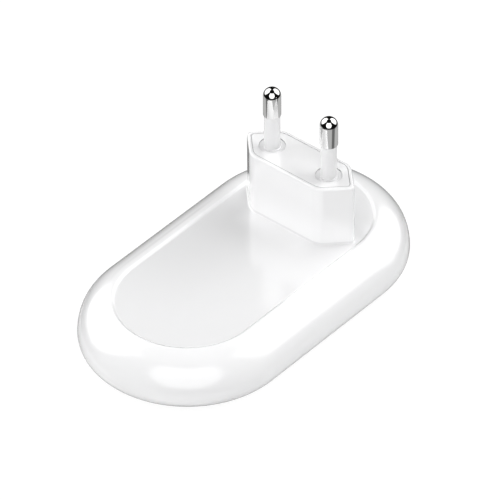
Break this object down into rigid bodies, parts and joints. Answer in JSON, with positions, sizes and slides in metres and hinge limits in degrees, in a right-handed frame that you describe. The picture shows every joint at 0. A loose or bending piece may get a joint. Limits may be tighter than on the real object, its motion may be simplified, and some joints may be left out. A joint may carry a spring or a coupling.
{
  "type": "plug in night light",
  "caption": "Pill-shaped plug in night light with a recessed back plate, a pointed plug block with sleeved round pins, and a milky front cover over a board of light sources.",
  "frame": {"origin": "middle of the flat front face, which is the lowest face: the lamp lies on its front with the plug up", "axes": "+Z along the plug pins, away from the wall side of the body; +Y along the body's long axis, towards the plug end; +X along the line of the two pins"},
  "size_m": [0.0572, 0.1018, 0.051],
  "materials": {
    "housing_white": "glossy white moulded plastic",
    "cap_white": "glossy white moulded plastic",
    "diffuser_milky": "satin milky translucent plastic",
    "window_clear": "clear polished plastic",
    "pin_metal": "bright nickel plate over brass",
    "sleeve_white": "satin white insulating plastic",
    "wire_live": "brown insulation",
    "wire_neutral": "blue insulation",
    "solder": "dull bright solder",
    "board_white": "white solder mask on glass-fibre board",
    "led_package": "white moulded package",
    "led_phosphor": "yellow phosphor in clear resin",
    "screw_steel": "zinc-plated steel",
    "sensor_clear": "clear moulded resin",
    "tube_black": "matt black moulded plastic",
    "film_yellow": "yellow moulded case",
    "can_sleeve": "dark shrink sleeve on aluminium",
    "resistor_body": "blue-grey lacquer",
    "varistor_blue": "blue epoxy coating",
    "chip_black": "black moulded epoxy",
    "chip_resistor": "black glass on ceramic with tinned ends"
  },
  "bodies": {
    "root": {"rear_housing": "housing_white", "plug_cap": "cap_white", "front_diffuser": "diffuser_milky", "sensor_window": "window_clear", "pin_left": "pin_metal", "pin_right": "pin_metal", "pin_sleeve_left": "sleeve_white", "pin_sleeve_right": "sleeve_white", "live_wire": "wire_live", "neutral_wire": "wire_neutral", "solder_joints": "solder", "led_board": "board_white", "leds": "led_package", "led_phosphors": "led_phosphor", "board_screws": "screw_steel", "light_sensor": "sensor_clear", "sensor_tube": "tube_black", "dropper_capacitor": "film_yellow", "smoothing_capacitor": "can_sleeve", "fuse_resistor": "resistor_body", "bleed_resistor": "resistor_body", "varistor": "varistor_blue", "bridge_rectifier": "chip_black", "driver_chip": "chip_black", "board_resistors": "chip_resistor"}
  },
  "joints": []
}
